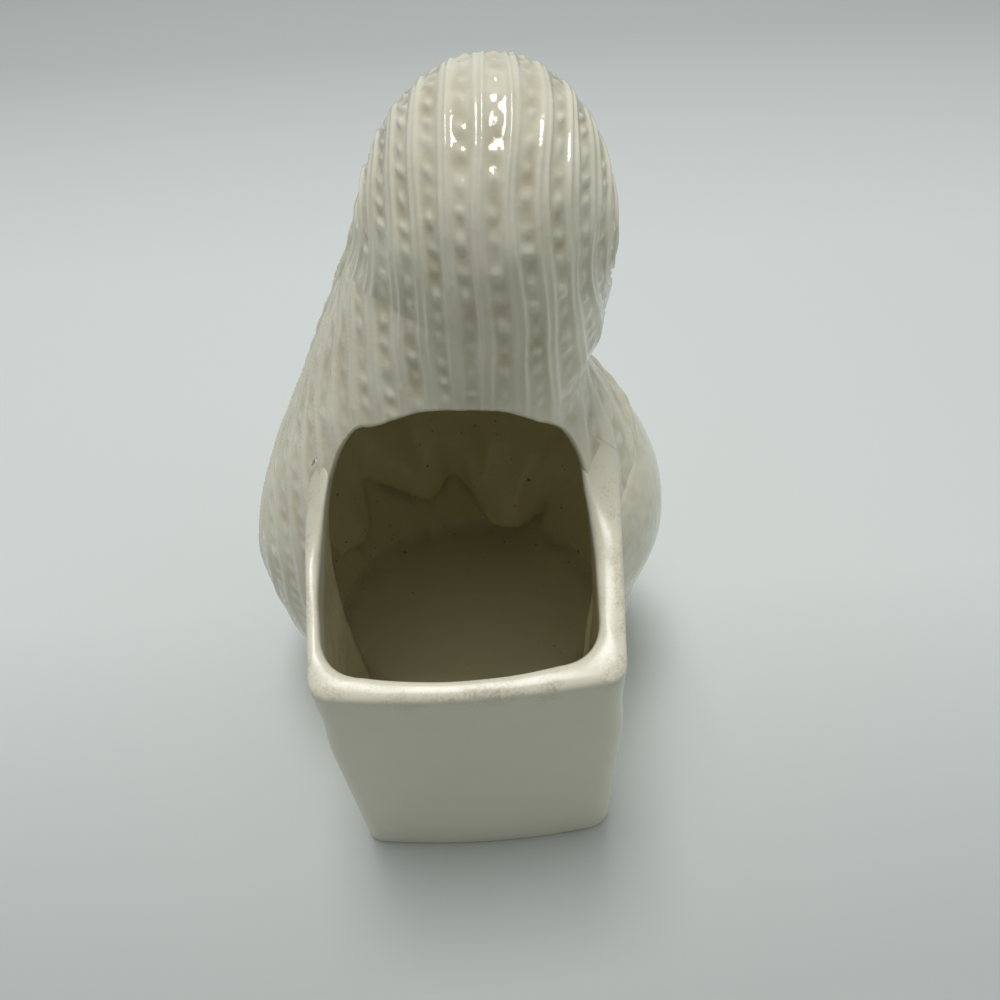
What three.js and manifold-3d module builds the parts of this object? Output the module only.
// Glazed ceramic planter: a veiled bust with a square, open-topped planter box on its back.
// Millimetres, +Z up. The box stands on the +Y side and the figure faces -Y, so +X is the figure's left.
// The origin is on the ground, in the middle of the footprint's bounding box.
import * as THREE from 'three';
import { mergeVertices } from 'three/addons/utils/BufferGeometryUtils.js';
import Module from 'manifold-3d';

const wasm = await Module();
wasm.setup();

// Walls and seams
const WALL = 4.5; // thickness of the cast shells
const SEAM = 0.3; // gap at every seam between two pieces
const FLOOR = 5; // thickness of the floor slab

// Sections of the bust, from the foot to the ears. Each is an oval at height z around (x, y), with a
// half-width to each side, a depth to the back and to the front, and a sideways tilt in degrees. Heights
// build on each other: the robe closes above the shoulder, and the head stands on its neckline.
const HEAD = { width: 22, depth: 25, height: 30 }; // half-sizes of the head
const NECK_SHOWS = 3.5; // from the neckline to the chin
const FOOT = { z: 0, x: 1, y: 0, left: 51, right: 49, back: 43, front: 50, tilt: 0 };
const SKIRT = { z: FOOT.z + 14, x: 2, y: 0, left: 57, right: 54, back: 45, front: 53, tilt: 0 };
const HIP = { z: SKIRT.z + 26, x: 3, y: 0, left: 62.5, right: 58, back: 47, front: 55, tilt: 0 };
const ELBOW = { z: HIP.z + 26, x: 2, y: 0, left: 63, right: 62, back: 50.5, front: 52, tilt: 0 };
const SHOULDER = { z: ELBOW.z + 27, x: 0.5, y: -1, left: 53.5, right: 51.5, back: 49, front: 43, tilt: 0 };
const YOKE = { z: SHOULDER.z + 10, x: -0.5, y: -4, left: 40, right: 38.5, back: 30, front: 34.5, tilt: 0 };
const NECKLINE = {
  z: YOKE.z + 10.5, x: -3.4, y: -9, left: 18.6, right: 18.6, back: 18, front: 18.6, tilt: 0,
};
const EAR = {
  z: NECKLINE.z + NECK_SHOWS + HEAD.height, x: -9.9, y: -8, left: 31, right: 31, back: 45, front: 25, tilt: 8,
};
const JAW = { z: EAR.z - 15, x: -4.7, y: -6.3, left: 35.4, right: 34.2, back: 43.5, front: 27, tilt: 4.5 };
const NAPE = { z: JAW.z - 15, x: 0, y: -4, left: 40, right: 35, back: 44.5, front: 31, tilt: 1.5 };

// The hood above the ears: the oval's back half swings over the head about the line through both ears.
// Each entry is the hood's radius at an angle up from straight back.
const HOOD = [{ angle: 0, radius: 45 }, { angle: 35, radius: 46.5 }, { angle: 62, radius: 45.2 },
  { angle: 90, radius: 41.5 }, { angle: 112, radius: 39 }];

// Edges of the veil: the angle round the bust, from the back, at a height. The left edge hangs to the
// ground, the right one turns back at the upper arm as a short hem and ends at the planter box.
const VEIL_LEFT = [{ z: FOOT.z, angle: 126 }, { z: ELBOW.z - 6, angle: 121 },
  { z: SHOULDER.z + 7, angle: 114 }, { z: NAPE.z + 5, angle: 100 }, { z: EAR.z, angle: 90 }];
const VEIL_RIGHT = [{ z: SHOULDER.z - 7, angle: -30 }, { z: SHOULDER.z - 4, angle: -50 },
  { z: SHOULDER.z - 1.5, angle: -66 }, { z: SHOULDER.z + 2, angle: -84 }, { z: SHOULDER.z + 7, angle: -104 },
  { z: SHOULDER.z + 14, angle: -110 }, { z: NAPE.z + 5, angle: -101 }, { z: EAR.z, angle: -90 }];
const BORDER_RADIUS = 2.9; // rolled border along the veil's front edge

// Ribs of the veil on the hood: the angle of a ridge on the crown, the angle from ridge to ridge, half their
// height, and how far round they move towards the ears, because they turn to hang plumb from a tilted head
const RIBS = { first: 9, pitch: 12, height: 0.6, drift: 14 };
const RIB_TURN = { above: 35, below: 25, from: 28, to: 75 }; // where they move: heights at the ears, angles
// Below the ears the ribs hang plumb: the first one's place across, the pitch to each side of it, and the
// heights about the ears between which the hood's ribs turn into hanging ones
const PLUMB = { x: -7.65, left: 6.05, right: 8, above: 16, below: 14 };
// On the flanks they follow one another ahead instead of across: where that starts, behind the bust's axis,
// over what distance, and how much a distance ahead counts
const FLANK = { y: 8, soft: 6, share: 0.9 };
const RIB_FADE = { ear: 14, wall: 66, hem: 10 }; // where they die away: degrees, angle beside the box, height

// Robe under the veil
const ROBE_SETBACK = 1.5; // from the veil's face to the robe's
const VEIL_LAP = 2; // room kept behind the veil where the robe stops at it
// Folds of the skirt: half their height, the angles they lie between and fade at, the heights between which
// they die away, and how far they sway from side to side, once over each wave
const FOLDS = { height: 1.2, from: 104, to: 262, fade: 18, low: 24, high: 38, sway: 4, wave: 90 };
// Rounded lumps inside the robe's wall: their middles, how far they spread and how far they stand in
const LUMPS = [
  { angle: 157, spread: 20, z: SKIRT.z + 28, height: 17, depth: 8 },
  { angle: 207, spread: 17, z: SKIRT.z + 16, height: 17, depth: 11 },
  { angle: 181, spread: 10, z: SKIRT.z + 30, height: 16, depth: 4 },
];

// Planter box, measured from the bust's axis
const BOX_REACH = 83.7; // to the middle of its bowed back face, at the rim
const BOX_BOW = 3; // how far that face bows out
const BOX_LEAN = 4.2; // how far the face leans in at the foot
const BOX_HALF_BACK = 34.6; // half-width at the back corners
const BOX_HALF_FRONT = 41.5; // half-width where the sides meet the bust
const BOX_JOIN = 22; // distance of that join from the axis
const BOX_CORNER = 5; // radius of the outer corners
const RIM_FRONT = SHOULDER.z + 8; // height of the rim at the join
const RIM_BACK = RIM_FRONT - 12.4; // height of the rim at the back face
const BOX_WALLS = { left: 3.8, right: 5.6, back: 4.7 }; // their thicknesses
const INNER_CORNER = 14; // radius of the inner corners

// Arched opening in the back of the veil, over the box
const ARCH_TOP = NAPE.z + 13; // height of its crown
const ARCH_SPRING = RIM_BACK + 1.4; // height where the arch starts

// Head, throat and hair. The face is the front of an ellipsoid round a point ahead of the ears.
const HEAD_AHEAD = 4; // from the ears' line to the head's middle
const MASK = { turn: 96, low: -72, high: 74 }; // how far round and up the face reaches, in degrees
const FACE_THICK = 4; // thickness of the face and the throat
const NOSE = { out: 5.5, half: 3.4, low: -7, high: 5 };
const CHIN_TAPER = 0.22; // how much narrower the jaw is than the brow
const THROAT_DOWN = 8; // how far the throat reaches below the neckline and up behind the chin
const THROAT_UP = 10;
const THROAT_LEAN = 0.6; // share of the head's sideways shift that the throat follows
const HAIR_WIDTH = 4.6; // half-width and half-thickness of the hair beside the face
const HAIR_THICK = 5.5;
const COLLAR_RADIUS = 2.6;

// Arms and hands on the chest: the hands' mid-plane, then how far out of the robe and how high the wrists,
// the knuckles and the fingertips are, with their half-widths and half-thicknesses
const HANDS_X = -1;
const WRIST = { out: 2.5, z: SHOULDER.z - 33, half: 8.5, thick: 8 };
const KNUCKLES = { out: 7, z: WRIST.z + 18, half: 10.5, thick: 8.6 };
const TIPS = { out: 10, z: KNUCKLES.z + 23, half: 3.6, thick: 4.6 };
const SLEEVE_ELBOW = 13.5; // radius of a sleeve at the elbow and at its wide mouth
const SLEEVE_MOUTH = 14.5;
const SLEEVE_PROUD = 6; // how far the sleeve stands out of the robe
// Height, and angle round the bust, of the elbows and of the forearms
const ELBOW_PLACE = { z: WRIST.z - 13, angle: 122 };
const FOREARM_PLACE = { z: WRIST.z - 10, angle: 152 };
const SLEEVE_GAP = 8; // from the hands' mid-plane to the sleeve's mouth

const GLAZE = new THREE.Color('#e9e5d6');
const TINY = 1e-3;
const RAD = Math.PI / 180;

// Smooth values between stations: a cubic through each field of the list, read at one of its keys
function between(stations, key, fields) {
  const places = stations.map((station) => station[key]);
  const values = stations.flatMap((station) => fields.map((field) => station[field]));
  const cubic = new THREE.CubicInterpolant(places, values, fields.length);
  return (place) => {
    const row = cubic.evaluate(THREE.MathUtils.clamp(place, places[0], places.at(-1)));
    return Object.fromEntries(fields.map((field, i) => [field, row[i]]));
  };
}

const OVAL = ['x', 'y', 'left', 'right', 'back', 'front', 'tilt'];
const BODY = [FOOT, SKIRT, HIP, ELBOW, SHOULDER, NAPE, JAW, EAR];
const bodySection = between(BODY, 'z', OVAL);
const hoodRadius = between(HOOD, 'angle', ['radius']);
const veilLeft = between(VEIL_LEFT, 'z', ['angle']);
const veilRight = between(VEIL_RIGHT, 'z', ['angle']);

// Robe sections: the bust's own up to the shoulders, drawn in by the set-back, then the yoke and the neckline
function drawnIn(station) {
  const copy = { ...station };
  for (const side of ['left', 'right', 'back', 'front']) copy[side] -= ROBE_SETBACK;
  return copy;
}
const robeSection = between([...[FOOT, SKIRT, HIP, ELBOW, SHOULDER].map(drawnIn), YOKE, NECKLINE], 'z', OVAL);

// Point on an oval section at an angle from the back, grown outwards by some millimetres
function ovalPoint(oval, z, angle, grow) {
  const s = Math.sin(angle * RAD);
  const c = Math.cos(angle * RAD);
  const across = s * ((s > 0 ? oval.left : oval.right) + grow);
  const along = c * ((c > 0 ? oval.back : oval.front) + grow);
  const tilt = oval.tilt * RAD;
  return new THREE.Vector3(oval.x + across * Math.cos(tilt), oval.y + along, z + across * Math.sin(tilt));
}

// Point on the hood: swing is the angle up from straight back, angle runs from ear (-90) to ear (90)
function hoodPoint(swing, angle, grow) {
  const across = Math.sin(angle * RAD) * (EAR.left + grow);
  const out = Math.cos(angle * RAD) * (hoodRadius(swing).radius + grow);
  const rise = out * Math.sin(swing * RAD);
  const tilt = EAR.tilt * RAD;
  return new THREE.Vector3(
    EAR.x + across * Math.cos(tilt) - rise * Math.sin(tilt),
    EAR.y + out * Math.cos(swing * RAD),
    EAR.z + across * Math.sin(tilt) + rise * Math.cos(tilt),
  );
}

// Solid from triangles: corners that meet are merged, slivers without area are dropped, faces point out
function toSolid(points, triangles) {
  const raw = new THREE.BufferGeometry().setFromPoints(points).setIndex(triangles);
  const merged = mergeVertices(raw, TINY);
  const index = merged.index.array;
  const kept = [];
  for (let i = 0; i < index.length; i += 3) {
    const [a, b, c] = index.slice(i, i + 3);
    if (a !== b && b !== c && c !== a) kept.push(a, b, c);
  }
  const vertProperties = Float32Array.from(merged.attributes.position.array);
  const make = (order) => {
    const triVerts = Uint32Array.from(order);
    return new wasm.Manifold(new wasm.Mesh({ numProp: 3, vertProperties, triVerts }));
  };
  const made = make(kept);
  return made.volume() > 0 ? made : make(kept.reverse());
}

// Solid of a closed three.js geometry
function geometrySolid(geometry) {
  const points = [];
  const place = geometry.attributes.position;
  for (let i = 0; i < place.count; i += 1) points.push(new THREE.Vector3().fromBufferAttribute(place, i));
  const index = geometry.index ? [...geometry.index.array] : points.map((_, i) => i);
  return toSolid(points, index);
}

// Shell between two faces given on the same grid of rows and columns, with walls round its edge
function shell(rows, columns, outer, inner) {
  const points = [];
  for (const face of [outer, inner]) {
    for (let r = 0; r <= rows; r += 1) {
      for (let c = 0; c <= columns; c += 1) points.push(face(r / rows, c / columns));
    }
  }
  const span = columns + 1;
  const layer = (rows + 1) * span;
  const triangles = [];
  const quad = (a, b, c, d) => triangles.push(a, b, c, a, c, d);
  for (let r = 0; r < rows; r += 1) {
    for (let c = 0; c < columns; c += 1) {
      const a = r * span + c;
      quad(a, a + 1, a + span + 1, a + span);
      quad(layer + a, layer + a + span, layer + a + span + 1, layer + a + 1);
    }
    const first = r * span;
    const last = first + columns;
    quad(first, first + span, layer + first + span, layer + first);
    quad(last + span, last, layer + last, layer + last + span);
  }
  for (let c = 0; c < columns; c += 1) {
    const end = rows * span + c;
    quad(c + 1, c, layer + c, layer + c + 1);
    quad(end, end + 1, layer + end + 1, layer + end);
  }
  return toSolid(points, triangles);
}

// Solid through a row of closed rings with equal numbers of points, with a fan over each end
function throughRings(rings) {
  const count = rings[0].length;
  const points = rings.flat();
  const triangles = [];
  for (let r = 0; r < rings.length - 1; r += 1) {
    for (let i = 0; i < count; i += 1) {
      const a = r * count + i;
      const b = r * count + ((i + 1) % count);
      triangles.push(a, b, b + count, a, b + count, a + count);
    }
  }
  for (const [ring, turn] of [[0, true], [rings.length - 1, false]]) {
    const middle = rings[ring].reduce((sum, p) => sum.add(p), new THREE.Vector3()).divideScalar(count);
    points.push(middle);
    for (let i = 0; i < count; i += 1) {
      const a = ring * count + i;
      const b = ring * count + ((i + 1) % count);
      triangles.push(points.length - 1, ...(turn ? [b, a] : [a, b]));
    }
  }
  return toSolid(points, triangles);
}

// Tube along a smooth path with an oval section: radii(t) gives its half-width and half-depth, sideways is
// the direction that the half-width keeps to
function tube(path, steps, sides, radii, sideways) {
  const rings = [];
  for (let i = 0; i <= steps; i += 1) {
    const t = i / steps;
    const middle = path.getPoint(t);
    const ahead = path.getTangent(t);
    const up = new THREE.Vector3().crossVectors(ahead, sideways).normalize();
    const across = new THREE.Vector3().crossVectors(up, ahead).normalize();
    const [width, depth] = radii(t);
    rings.push(Array.from({ length: sides }, (_, k) => {
      const turn = (2 * Math.PI * k) / sides;
      return middle.clone()
        .addScaledVector(across, width * Math.cos(turn))
        .addScaledVector(up, depth * Math.sin(turn));
    }));
  }
  return throughRings(rings);
}

const FAR = 400; // larger than the object, for cutting blocks

// Block between two corners, for cutting
function block(low, high) {
  const size = new THREE.Vector3().subVectors(high, low);
  const middle = new THREE.Vector3().addVectors(low, high).divideScalar(2);
  return geometrySolid(new THREE.BoxGeometry(size.x, size.y, size.z).translate(middle.x, middle.y, middle.z));
}
const belowGround = block(new THREE.Vector3(-FAR, -FAR, -FAR), new THREE.Vector3(FAR, FAR, 0));

// Bust filled solid, grown by some millimetres, between two heights
function filledBust(section, low, high, grow, steps) {
  const rings = [];
  const sides = 64;
  for (let r = 0; r <= steps; r += 1) {
    const z = THREE.MathUtils.lerp(low, high, r / steps);
    rings.push(Array.from({ length: sides }, (_, k) => ovalPoint(section(z), z, (360 * k) / sides, grow)));
  }
  return throughRings(rings);
}

// Veil: rows run from the forehead back over the crown, then down the back to the ground. Columns follow the
// ribs, one on each ridge and one in each hollow, and crowd together where an edge of the veil cuts them off.
const HOOD_ROWS = 10;
const BACK_ROWS = 27;
const HALF_RIBS = { left: 33, right: -16 }; // half-pitches from the first ridge to the outermost columns
const VEIL_COLUMNS = HALF_RIBS.left - HALF_RIBS.right + 2;
const HALVINGS = 24; // enough to place a rib within a thousandth of a degree
const HOOD_EDGE = HOOD.at(-1).angle;
const HEM_LOW = VEIL_RIGHT[0].z;

// Number of the rib at a point of the veil, with fractions between two ribs, from the point's angle and its
// distance down from the ears
function ribNumber(angle, down, point) {
  const drift = RIBS.drift * THREE.MathUtils.smoothstep(down, -RIB_TURN.above, RIB_TURN.below);
  const moved = angle + drift * (1 - THREE.MathUtils.smoothstep(angle, RIB_TURN.from, RIB_TURN.to));
  const ahead = FLANK.soft * Math.log1p(Math.exp((FLANK.y - point.y) / FLANK.soft));
  const across = point.x - PLUMB.x + Math.sign(angle) * FLANK.share * ahead;
  return THREE.MathUtils.lerp(
    (moved - RIBS.first) / RIBS.pitch,
    across / (across > 0 ? PLUMB.left : PLUMB.right),
    THREE.MathUtils.smoothstep(down, -PLUMB.above, PLUMB.below),
  );
}

// Angle between two edges at which the rib with a number lies, found by halving; place gives a point there
function ribAngle(count, down, right, left, place) {
  let low = right;
  let high = left;
  for (let k = 0; k < HALVINGS; k += 1) {
    const middle = (low + high) / 2;
    if (ribNumber(middle, down, place(middle)) < count) low = middle;
    else high = middle;
  }
  return (low + high) / 2;
}

// Share of a rib's height that is left beside the box's walls and towards the hem on the right
function ribShare(z, angle) {
  const overBox = THREE.MathUtils.smoothstep(z, RIM_FRONT + 1, RIM_FRONT + WALL);
  const beside = THREE.MathUtils.smoothstep(Math.abs(angle), RIB_FADE.wall, RIB_FADE.wall + WALL);
  const overHem = THREE.MathUtils.smoothstep(z, SHOULDER.z, SHOULDER.z + RIB_FADE.hem);
  return Math.max(overBox, beside) * (angle > 0 ? 1 : overHem);
}

function veilPoint(row, column, grow, widen, ribbed) {
  const rows = HOOD_ROWS + BACK_ROWS;
  const step = row * rows;
  const half = HALF_RIBS.left + 1 - Math.round(column * VEIL_COLUMNS);
  const turn = widen / HOOD.at(-1).radius / RAD;
  const onHood = step < HOOD_ROWS;
  const swing = onHood ? (HOOD_EDGE + turn) * (1 - step / HOOD_ROWS) : 0;
  const z = onHood ? EAR.z : EAR.z * (1 - (step - HOOD_ROWS) / BACK_ROWS);
  const left = onHood ? 90 : veilLeft(z).angle + turn;
  const right = onHood ? -90 : veilRight(z + widen).angle - turn;
  const down = onHood ? -swing * RAD * EAR.back : EAR.z - z;
  const section = bodySection(z);
  const place = (at, out) => (onHood ? hoodPoint(swing, at, out) : ovalPoint(section, z, at, out));
  let angle = ribAngle(half / 2, down, right, left, (at) => place(at, 0));
  if (column === 0) angle = left;
  if (column === 1) angle = right;
  const edge = Math.min(left - angle, angle - right, HOOD_EDGE - swing);
  const ridge = ribbed ? RIBS.height * Math.cos(half * Math.PI) : 0;
  const share = THREE.MathUtils.smoothstep(edge, 0, RIB_FADE.ear) * (onHood ? 1 : ribShare(z, angle));
  return place(angle, grow + ridge * share);
}

function veilShell(outside, inside, widen) {
  return shell(HOOD_ROWS + BACK_ROWS, VEIL_COLUMNS,
    (r, c) => veilPoint(r, c, outside, widen, true), (r, c) => veilPoint(r, c, -WALL - inside, widen, false));
}

// Rolled border: a bead along the veil's edge, from the ground on the left, over the forehead, to the box on
// the right
const BORDER_TOP = 0.95; // share of the ears' height where the bead leaves the sides for the hood
const BORDER_TURN = 76; // angle on the hood where it does
function borderBead(grow) {
  const points = [];
  const middle = -WALL / 2;
  const top = BORDER_TOP * EAR.z;
  const edge = (z, angle) => points.push(ovalPoint(bodySection(z), z, angle, middle));
  const foot = ovalPoint(FOOT, -2 * BORDER_RADIUS, veilLeft(0).angle, middle);
  points.push(foot);
  const counts = { left: 8, hood: 6, hem: 11 };
  for (let k = 1; k <= counts.left; k += 1) {
    const z = (top * k) / counts.left;
    edge(z, veilLeft(z).angle);
  }
  for (let k = 0; k <= counts.hood; k += 1) {
    points.push(hoodPoint(HOOD_EDGE, BORDER_TURN * (1 - (2 * k) / counts.hood), middle));
  }
  for (let k = counts.hem; k >= 0; k -= 1) {
    const z = THREE.MathUtils.lerp(HEM_LOW, top, (k / counts.hem) ** 2);
    edge(z, veilRight(z).angle);
  }
  const radius = BORDER_RADIUS + grow;
  const path = new THREE.CatmullRomCurve3(points);
  return tube(path, 64, 8, () => [radius, radius], new THREE.Vector3(0, 1, 0.35));
}

// Planter box: half-width of its outside at a distance from the bust's axis
function boxHalf(y) {
  const slope = (BOX_HALF_FRONT - BOX_HALF_BACK) / (BOX_REACH - BOX_JOIN);
  return BOX_HALF_BACK + slope * (BOX_REACH - y);
}

// Plan outline of the box from the bust's axis to its bowed back face, pulled in by an inset on each side
function boxOutline(inset, corner) {
  const left = (y) => boxHalf(y) - inset.left;
  const right = (y) => inset.right - boxHalf(y);
  const face = BOX_REACH - inset.back; // the back face's middle
  const side = face - BOX_BOW; // where its bow starts
  const bend = face - BOX_BOW * 0.7; // where the corners end
  const outline = new THREE.Shape();
  outline.moveTo(right(0), 0);
  outline.lineTo(left(0), 0);
  outline.lineTo(left(side - corner), side - corner);
  outline.quadraticCurveTo(left(side), side, left(side) - corner, bend);
  outline.quadraticCurveTo(0, 2 * face - bend, right(side) + corner, bend);
  outline.quadraticCurveTo(right(side), side, right(side - corner), side - corner);
  outline.closePath();
  return outline;
}

// Height of the sloping rim at a distance from the bust's axis
function rimHeight(y) {
  return RIM_FRONT + ((RIM_BACK - RIM_FRONT) * (y - BOX_JOIN)) / (BOX_REACH - BOX_JOIN);
}

// Prism on a plan outline whose back leans in at the foot; top gives the height of its upper face at y
function leaningPrism(outline, foot, top) {
  const prism = new THREE.ExtrudeGeometry(outline, { depth: 1, bevelEnabled: false, curveSegments: 8 });
  const place = prism.attributes.position;
  for (let i = 0; i < place.count; i += 1) {
    const y = place.getY(i);
    const z = place.getZ(i) > 0.5 ? top(y) : foot;
    const lean = BOX_LEAN * (1 - z / RIM_BACK) * Math.max(y / BOX_REACH, 0);
    place.setXYZ(i, place.getX(i), y - lean, z);
  }
  return geometrySolid(prism);
}

const FLUSH = { left: 0, right: 0, back: 0 };
const boxOutside = leaningPrism(boxOutline(FLUSH, BOX_CORNER), 0, rimHeight);

// Inside of the box, drawn in by a clearance; it runs on forwards into the hollow of the bust
function boxInside(clearance, foot, top) {
  const inset = Object.fromEntries(Object.entries(BOX_WALLS).map(([side, wall]) => [side, wall + clearance]));
  return leaningPrism(boxOutline(inset, INNER_CORNER), foot, () => top);
}

// Arch over the box: half an ellipse, as wide as the box is inside at the back of the bust, run through
// the veil
function archCut() {
  const wide = boxHalf(NAPE.y + NAPE.back);
  const half = wide - (BOX_WALLS.left + BOX_WALLS.right) / 2;
  const middle = (BOX_WALLS.right - BOX_WALLS.left) / 2;
  const outline = new THREE.Shape();
  outline.absellipse(middle, ARCH_SPRING, half, ARCH_TOP - ARCH_SPRING, 0, Math.PI, false, 0);
  outline.lineTo(middle - half, RIM_BACK / 2);
  outline.lineTo(middle + half, RIM_BACK / 2);
  outline.closePath();
  const depth = BOX_REACH;
  const prism = new THREE.ExtrudeGeometry(outline, { depth, bevelEnabled: false, curveSegments: 14 });
  return geometrySolid(prism.rotateX(Math.PI / 2).translate(0, depth, 0));
}
const opening = boxInside(0, -FLOOR, (RIM_BACK + RIM_FRONT) / 2).add(archCut());

const pieces = {};
const border = borderBead(0).subtract(belowGround);
const borderRoom = borderBead(SEAM);
const veilRoom = veilShell(SEAM, SEAM, SEAM);
pieces.veil = veilShell(0, 0, 0).subtract(opening).subtract(borderRoom);

// Robe: a shell round the front, from the veil's left edge to the box's right wall, closed over the
// shoulders. Its edges are angles round the bust, and behind the right shoulder it stops under the veil.
// Columns lie on the folds of the skirt, one on each ridge and one in each hollow.
const ROBE_ROWS = 18;
const ROBE_COLUMNS = 32;
const ROBE_EDGES = { left: 78, right: 330, rightHigh: 282 };
const robeInner = ROBE_SETBACK - WALL;
function robePlan(row, column) {
  const z = NECKLINE.z * row;
  const high = THREE.MathUtils.smoothstep(z, HEM_LOW - 2 * WALL, HEM_LOW + 2 * WALL);
  const right = THREE.MathUtils.lerp(ROBE_EDGES.right, ROBE_EDGES.rightHigh, high);
  const plumb = THREE.MathUtils.lerp(ROBE_EDGES.left, right, column);
  const skirt = 1 - THREE.MathUtils.smoothstep(z, FOLDS.low, FOLDS.high);
  const front = THREE.MathUtils.smoothstep(plumb, FOLDS.from, FOLDS.from + FOLDS.fade)
    * (1 - THREE.MathUtils.smoothstep(plumb, FOLDS.to - FOLDS.fade, FOLDS.to));
  const share = skirt * front;
  const angle = plumb + FOLDS.sway * share * Math.sin((2 * Math.PI * (z + plumb)) / FOLDS.wave);
  const fold = FOLDS.height * share * Math.cos(column * ROBE_COLUMNS * Math.PI);
  return { z, angle, fold };
}
function lumpDepth(z, angle) {
  const depths = LUMPS.map((lump) => lump.depth * Math.exp(
    -(Math.abs((angle - lump.angle) / lump.spread) ** 3) - Math.abs((z - lump.z) / lump.height) ** 3,
  ));
  return depths.reduce((sum, depth) => sum + depth) * THREE.MathUtils.smoothstep(z, FLOOR + SEAM, 3 * FLOOR);
}
function robeOuter(row, column) {
  const { z, angle, fold } = robePlan(row, column);
  return ovalPoint(robeSection(z), z, angle, fold);
}
function robeInside(row, column) {
  const { z, angle } = robePlan(row, column);
  return ovalPoint(robeSection(z), z, angle, robeInner - lumpDepth(z, angle));
}
const robeShell = shell(ROBE_ROWS, ROBE_COLUMNS, robeOuter, robeInside);
const lapRoom = veilShell(VEIL_LAP, VEIL_LAP, VEIL_LAP);
pieces.robe = robeShell.subtract(opening).subtract(lapRoom).subtract(borderRoom);

// Walls of the box: one casting round three sides, parted before the outer corners and fitted to the bust
const bustRoom = filledBust(bodySection, -FLOOR, NAPE.z, SEAM, 24);
const hemRoom = filledBust(bodySection, HEM_LOW, NAPE.z, SEAM, 8);
const robeRoom = filledBust(robeSection, -FLOOR, SHOULDER.z, SEAM, 20);
const boxShell = boxOutside.subtract(boxInside(0, -FLOOR, FAR));
const parting = BOX_REACH - BOX_BOW - BOX_CORNER - BOX_LEAN;
const behind = block(new THREE.Vector3(-FAR, parting + SEAM / 2, -FAR), new THREE.Vector3(FAR, FAR, FAR));
const near = BOX_JOIN - WALL;
const ahead = block(new THREE.Vector3(-FAR, near, -FAR), new THREE.Vector3(FAR, parting - SEAM / 2, FAR));
const leftSide = block(new THREE.Vector3(0, -FAR, -FAR), new THREE.Vector3(FAR, FAR, FAR));
const boxSides = boxShell.intersect(ahead);
pieces.box_back_wall = boxShell.intersect(behind);
pieces.box_left_wall = boxSides.intersect(leftSide).subtract(bustRoom);
pieces.box_right_wall = boxSides.subtract(leftSide).subtract(robeRoom).subtract(hemRoom).subtract(borderRoom);
const joinBack = block(new THREE.Vector3(-FAR, near, -FAR), new THREE.Vector3(FAR, FAR, FAR));
pieces.veil_border = border.subtract(boxOutside.intersect(joinBack));

// Floor slab: it fills the foot of the bust and of the box, inside the walls
const bustFoot = filledBust(bodySection, 0, FLOOR, -WALL - SEAM, 2);
pieces.floor_slab = bustFoot.add(boxInside(SEAM, 0, FLOOR));

// Point given in the head's own axes, leaning with the hood
function headPoint(x, y, z) {
  const tilt = EAR.tilt * RAD;
  return new THREE.Vector3(
    EAR.x + x * Math.cos(tilt) - z * Math.sin(tilt),
    EAR.y - HEAD_AHEAD + y,
    EAR.z + x * Math.sin(tilt) + z * Math.cos(tilt),
  );
}

// Face: the front of an ellipsoid that narrows to the jaw, with a plain nose. Turn goes from ear to ear and
// lift from under the chin to above the forehead, both in degrees.
function facePoint(turn, lift, grow) {
  const up = Math.sin(lift * RAD);
  const round = Math.cos(lift * RAD);
  const taper = 1 - CHIN_TAPER * THREE.MathUtils.smoothstep(-up, 0, 1);
  const x = (HEAD.width + grow) * taper * round * Math.sin(turn * RAD);
  const z = (HEAD.height + grow) * up;
  const bridge = THREE.MathUtils.smoothstep(NOSE.high - z, 0, NOSE.high - NOSE.low);
  const under = 1 - THREE.MathUtils.smoothstep(NOSE.low - z, 0, NOSE.half);
  const ridge = Math.exp(-((x / NOSE.half) ** 2)) * Math.max(Math.cos(turn * RAD), 0);
  const nose = NOSE.out * bridge * under * ridge;
  const y = -(HEAD.depth + grow) * round * Math.cos(turn * RAD) - nose;
  return headPoint(x, y, z);
}
function faceShell(outside, inside, margin) {
  const turn = MASK.turn + margin;
  const face = (r, c, grow) => facePoint(THREE.MathUtils.lerp(-turn, turn, c),
    THREE.MathUtils.lerp(MASK.low - margin, MASK.high + margin, r), grow);
  return shell(14, 16, (r, c) => face(r, c, outside), (r, c) => face(r, c, inside));
}
const mask = faceShell(0, -FACE_THICK, 0);
const faceRoom = faceShell(SEAM, -2 * FACE_THICK, 2);

// Throat: half a pipe from inside the neckline up behind the chin, following the head to the side
const throatRadius = NECKLINE.front + robeInner - SEAM;
function throatPoint(row, column, grow) {
  const high = EAR.z - HEAD.height + THROAT_UP;
  const z = THREE.MathUtils.lerp(NECKLINE.z - THROAT_DOWN, high, row);
  const shift = THROAT_LEAN * (EAR.x - NECKLINE.x) * THREE.MathUtils.smoothstep(z, NECKLINE.z, high);
  const angle = THREE.MathUtils.lerp(MASK.turn, 360 - MASK.turn, column) * RAD;
  const radius = throatRadius + grow;
  const x = NECKLINE.x + shift + radius * Math.sin(angle);
  return new THREE.Vector3(x, NECKLINE.y + radius * Math.cos(angle), z);
}
function throatShell(grow) {
  return shell(6, 12, (r, c) => throatPoint(r, c, grow), (r, c) => throatPoint(r, c, -FACE_THICK - grow));
}
const throatRoom = throatShell(SEAM);
pieces.face = mask.add(throatShell(0)).subtract(veilRoom).subtract(borderRoom);

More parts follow.
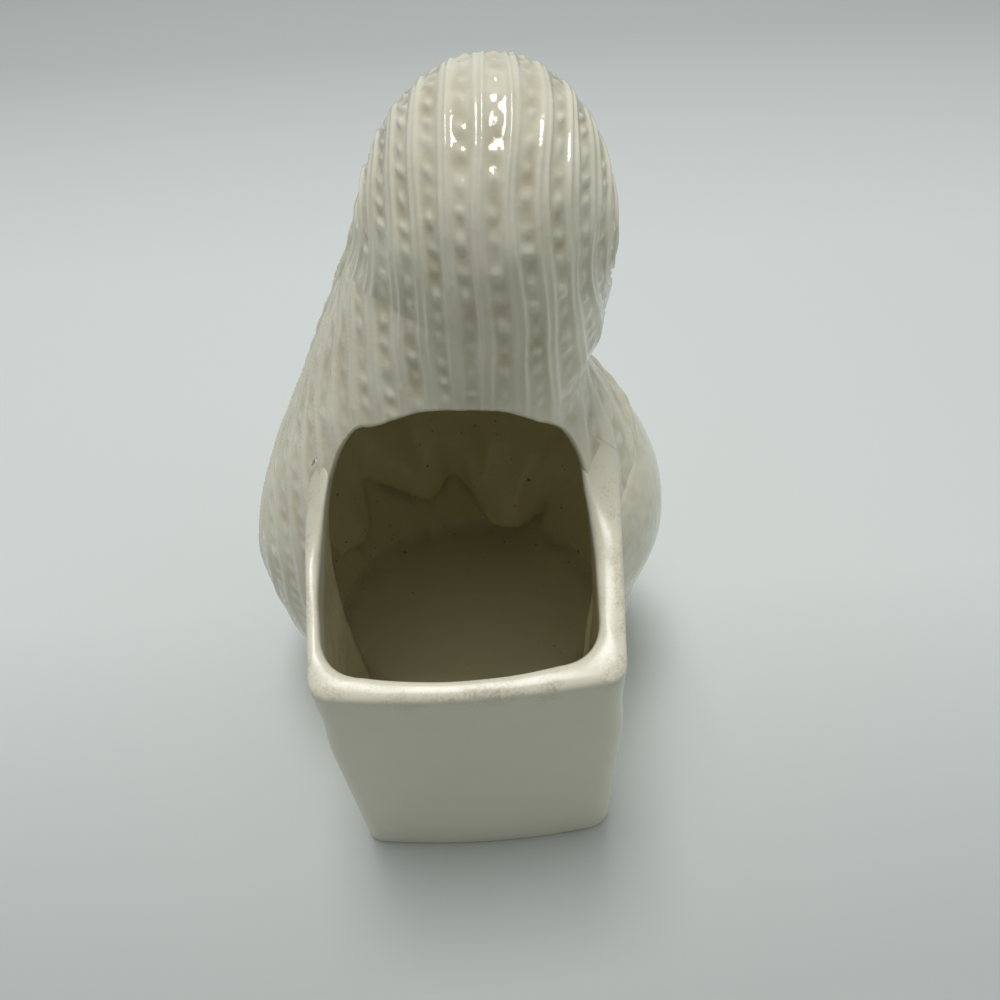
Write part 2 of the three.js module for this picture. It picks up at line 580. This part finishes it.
// Collar: a rolled edge along the front of the neckline, on top of the robe
function collarRoll(grow) {
  const steps = 8;
  const points = Array.from({ length: steps + 1 }, (_, k) => {
    const angle = THREE.MathUtils.lerp(ROBE_EDGES.left, 360 - ROBE_EDGES.left, k / steps);
    return ovalPoint(NECKLINE, NECKLINE.z, angle, robeInner / 2);
  });
  const radius = COLLAR_RADIUS + grow;
  const path = new THREE.CatmullRomCurve3(points);
  return tube(path, 20, 8, () => [radius, radius], new THREE.Vector3(0, 0, 1));
}
const collarRoom = collarRoll(SEAM);
pieces.collar = collarRoll(0).subtract(throatRoom);
pieces.robe = pieces.robe.subtract(collarRoom);

// Hair: a lock at each side of the face, from the parting above the forehead past the ear, then down between
// the throat and the veil to the shoulder. The parting's places are turns and lifts on the face.
const SIDES = [[1, 'left'], [-1, 'right']];
const PARTING = [[2, 72], [22, 66], [46, 50], [72, 26], [84, 2]];
const chestRoom = filledBust(robeSection, -FLOOR, NECKLINE.z, SEAM, 24);
for (const [side, name] of SIDES) {
  const rootOut = HAIR_THICK * 0.4;
  const points = PARTING.map(([turn, lift]) => facePoint(side * turn, lift, rootOut));
  const high = NECKLINE.z + 2 * HAIR_WIDTH;
  const veilSide = ovalPoint(bodySection(high), high, side * 90, -WALL).x;
  const throatSide = NECKLINE.x + side * throatRadius;
  const fall = (veilSide + throatSide) / 2;
  const fallHalf = Math.abs(veilSide - throatSide) / 2 + SEAM;
  const low = NECKLINE.z - 2 * HAIR_WIDTH;
  for (const z of [high, low]) points.push(new THREE.Vector3(fall, EAR.y - HEAD_AHEAD, z));
  const wide = (t) => THREE.MathUtils.lerp(HAIR_WIDTH, fallHalf, THREE.MathUtils.smoothstep(t, 0.55, 0.9));
  const path = new THREE.CatmullRomCurve3(points);
  const lock = tube(path, 20, 10, (t) => [HAIR_THICK, wide(t)], new THREE.Vector3(0, 1, 0.2));
  const half = new THREE.BoxGeometry(FAR, FAR, FAR).translate((side * (FAR + SEAM)) / 2, 0, 0);
  half.rotateY(-EAR.tilt * RAD).translate(EAR.x, EAR.y, EAR.z);
  pieces[`hair_${name}`] = lock.intersect(geometrySolid(half)).subtract(faceRoom).subtract(throatRoom)
    .subtract(veilRoom).subtract(borderRoom).subtract(chestRoom).subtract(collarRoom);
}

// Place on or off the robe's surface: a height, an angle round the bust and a distance out
function robePlace(z, angle, out) {
  return ovalPoint(robeSection(z), z, angle, out);
}

// Left or right half of space, parted at the hands' mid-plane
function halfSpace(side) {
  const edge = HANDS_X + (side * SEAM) / 2;
  const low = new THREE.Vector3(side > 0 ? edge : -FAR, -FAR, -FAR);
  return block(low, new THREE.Vector3(side > 0 ? FAR : edge, FAR, FAR));
}

// Sleeves: wide rolls from the elbows to the wrists, set on the robe
function sleeveRoll(side, grow) {
  const elbow = robePlace(ELBOW_PLACE.z, side * ELBOW_PLACE.angle, SLEEVE_PROUD - SLEEVE_ELBOW);
  const forearm = robePlace(FOREARM_PLACE.z, side * FOREARM_PLACE.angle, SLEEVE_PROUD - SLEEVE_ELBOW);
  const mouth = robePlace(WRIST.z, 180, WRIST.out).setX(HANDS_X + side * SLEEVE_GAP);
  const path = new THREE.CatmullRomCurve3([elbow, forearm, mouth]);
  const radius = (t) => THREE.MathUtils.lerp(SLEEVE_ELBOW, SLEEVE_MOUTH, t) + grow;
  return tube(path, 14, 12, (t) => [radius(t), radius(t)], new THREE.Vector3(0, -1, 0.3));
}

// Hands: pressed palm to palm at their mid-plane, rising from the sleeves and resting on the chest
function handsBody() {
  const stops = [WRIST, KNUCKLES, TIPS];
  const places = stops.map((stop) => robePlace(stop.z, 180, stop.out).setX(HANDS_X));
  const path = new THREE.CatmullRomCurve3(places);
  const size = between(stops, 'z', ['half', 'thick']);
  const radii = (t) => Object.values(size(path.getPoint(t).z));
  return tube(path, 12, 16, radii, new THREE.Vector3(0, 1, 0));
}
const sleevesRoom = sleeveRoll(1, SEAM).add(sleeveRoll(-1, SEAM));
for (const [side, name] of SIDES) {
  pieces[`sleeve_${name}`] = sleeveRoll(side, 0).intersect(halfSpace(side)).subtract(chestRoom)
    .subtract(veilRoom).subtract(borderRoom);
  pieces[`hand_${name}`] = handsBody().intersect(halfSpace(side)).subtract(chestRoom).subtract(sleevesRoom);
}

const planter = new THREE.Group();
for (const [name, made] of Object.entries(pieces)) {
  const mesh = made.getMesh();
  const geometry = new THREE.BufferGeometry();
  geometry.setAttribute('position', new THREE.BufferAttribute(mesh.vertProperties, 3));
  geometry.setIndex(new THREE.BufferAttribute(mesh.triVerts, 1));
  geometry.computeVertexNormals();
  const glaze = new THREE.MeshStandardMaterial({ color: GLAZE, roughness: 0.22, metalness: 0 });
  const piece = new THREE.Mesh(geometry, glaze);
  piece.name = name;
  planter.add(piece);
}

// The origin goes to the middle of the footprint
const middle = new THREE.Box3().setFromObject(planter).getCenter(new THREE.Vector3());
planter.position.set(-middle.x, -middle.y, 0);

export default planter;
